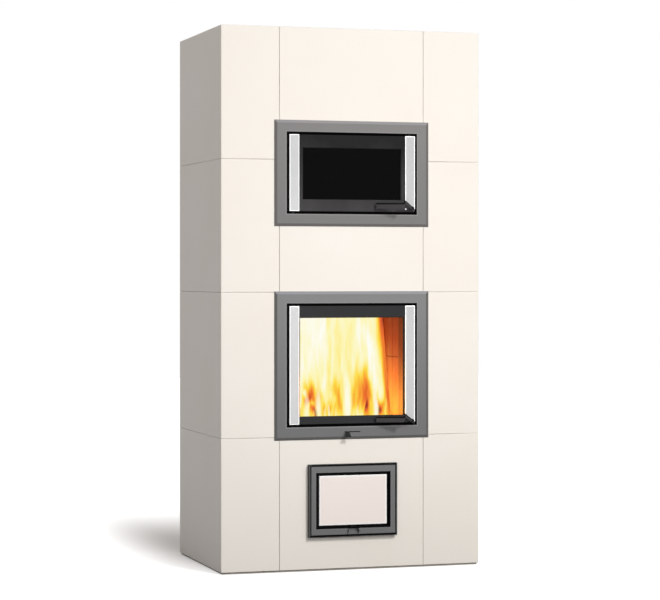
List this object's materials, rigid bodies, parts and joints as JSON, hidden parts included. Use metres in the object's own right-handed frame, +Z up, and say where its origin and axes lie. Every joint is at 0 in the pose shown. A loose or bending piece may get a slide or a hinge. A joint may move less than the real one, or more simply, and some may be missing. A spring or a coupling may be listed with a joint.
{
  "type": "tiled stove",
  "caption": "Tall heat-storing stove in a shell of large pale tiles, with an oven door, a glazed fire door and an ash door that open.",
  "frame": {"origin": "on the underside of the base slab, at the centre of the tiled body's plan", "axes": "+Z up, the doors face -Y, +X to the right of someone facing the doors"},
  "size_m": [0.96, 0.6671, 1.94],
  "materials": {
    "glazed_tile": "warm white satin glaze on large ceramic tiles",
    "concrete": "plain cast concrete",
    "refractory": "rough heat-proof casting",
    "cast_iron": "bare cast iron",
    "surround_paint": "mid grey heat-proof paint with a faint metallic sheen",
    "leaf_paint": "dark grey heat-proof paint",
    "dark_glass": "dark glass-ceramic",
    "clear_glass": "clear glass-ceramic",
    "seal_rope": "black woven glass-fibre rope",
    "brushed_strip": "brushed along its length",
    "black_steel": "black satin paint",
    "sheet_steel": "plain sheet steel"
  },
  "bodies": {
    "stove_body": {"base_slab": "concrete", "back_panel": "concrete", "top_slab": "concrete", "flue_collar": "cast_iron", "front_tile_left_1": "glazed_tile", "front_tile_left_2": "glazed_tile", "front_tile_left_3": "glazed_tile", "front_tile_left_4": "glazed_tile", "front_tile_right_1": "glazed_tile", "front_tile_right_2": "glazed_tile", "front_tile_right_3": "glazed_tile", "front_tile_right_4": "glazed_tile", "front_tile_centre_1": "glazed_tile", "front_tile_centre_3": "glazed_tile", "front_tile_centre_4": "glazed_tile", "side_tile_left_1": "glazed_tile", "side_tile_left_2": "glazed_tile", "side_tile_left_3": "glazed_tile", "side_tile_left_4": "glazed_tile", "side_tile_right_1": "glazed_tile", "side_tile_right_2": "glazed_tile", "side_tile_right_3": "glazed_tile", "side_tile_right_4": "glazed_tile", "core_front_wall": "refractory", "core_back_wall": "refractory", "core_left_wall": "refractory", "core_right_wall": "refractory", "ash_chamber_floor": "refractory", "firebox_floor": "refractory", "fire_grate": "cast_iron", "firebox_lining_left": "refractory", "firebox_lining_right": "refractory", "firebox_lining_back": "refractory", "smoke_throat_slab": "refractory", "oven_side_left": "refractory", "oven_side_right": "refractory", "oven_floor": "refractory", "oven_roof": "refractory", "oven_door_surround": "surround_paint", "oven_door_hinge_pin": "black_steel", "fire_door_surround": "surround_paint", "fire_door_hinge_pin": "black_steel", "ash_door_surround": "surround_paint", "ash_door_hinge_pin": "black_steel"},
    "oven_door": {"oven_door_leaf": "leaf_paint", "oven_door_glass": "dark_glass", "oven_door_seal": "seal_rope", "oven_door_strip_left": "brushed_strip", "oven_door_strip_right": "brushed_strip"},
    "oven_door_latch": {"oven_door_lever": "black_steel"},
    "fire_door": {"fire_door_leaf": "leaf_paint", "fire_door_glass": "clear_glass", "fire_door_seal": "seal_rope", "fire_door_strip_left": "brushed_strip", "fire_door_strip_right": "brushed_strip"},
    "fire_door_latch": {"fire_door_lever": "black_steel"},
    "air_control": {"air_slide": "black_steel"},
    "ash_door": {"ash_door_leaf": "surround_paint", "ash_door_tile": "glazed_tile"},
    "ash_drawer": {"ash_pan": "sheet_steel"}
  },
  "joints": [
    {"name": "oven_door_swing", "type": "hinge", "parent": "stove_body", "child": "oven_door", "pos_m": [-0.219, -0.305, 1.406], "axis": [0, 0, -1], "range_deg": [0, 110]},
    {"name": "oven_lever_turn", "type": "hinge", "parent": "oven_door", "child": "oven_door_latch", "pos_m": [0.222, -0.31, 1.284], "axis": [0, 1, 0], "range_deg": [0, 45]},
    {"name": "fire_door_swing", "type": "hinge", "parent": "stove_body", "child": "fire_door", "pos_m": [-0.219, -0.305, 0.7275], "axis": [0, 0, -1], "range_deg": [0, 110]},
    {"name": "fire_lever_turn", "type": "hinge", "parent": "fire_door", "child": "fire_door_latch", "pos_m": [0.222, -0.31, 0.525], "axis": [0, 1, 0], "range_deg": [0, 45]},
    {"name": "air_control_slide", "type": "slide", "parent": "stove_body", "child": "air_control", "axis": [1, 0, 0], "range_m": [0, 0.045]},
    {"name": "ash_door_swing", "type": "hinge", "parent": "stove_body", "child": "ash_door", "pos_m": [-0.149, -0.3215, 0.2485], "axis": [0, 0, -1], "range_deg": [0, 110]},
    {"name": "ash_pan_slide", "type": "slide", "parent": "stove_body", "child": "ash_drawer", "axis": [0, -1, 0], "range_m": [0, 0.09]}
  ]
}
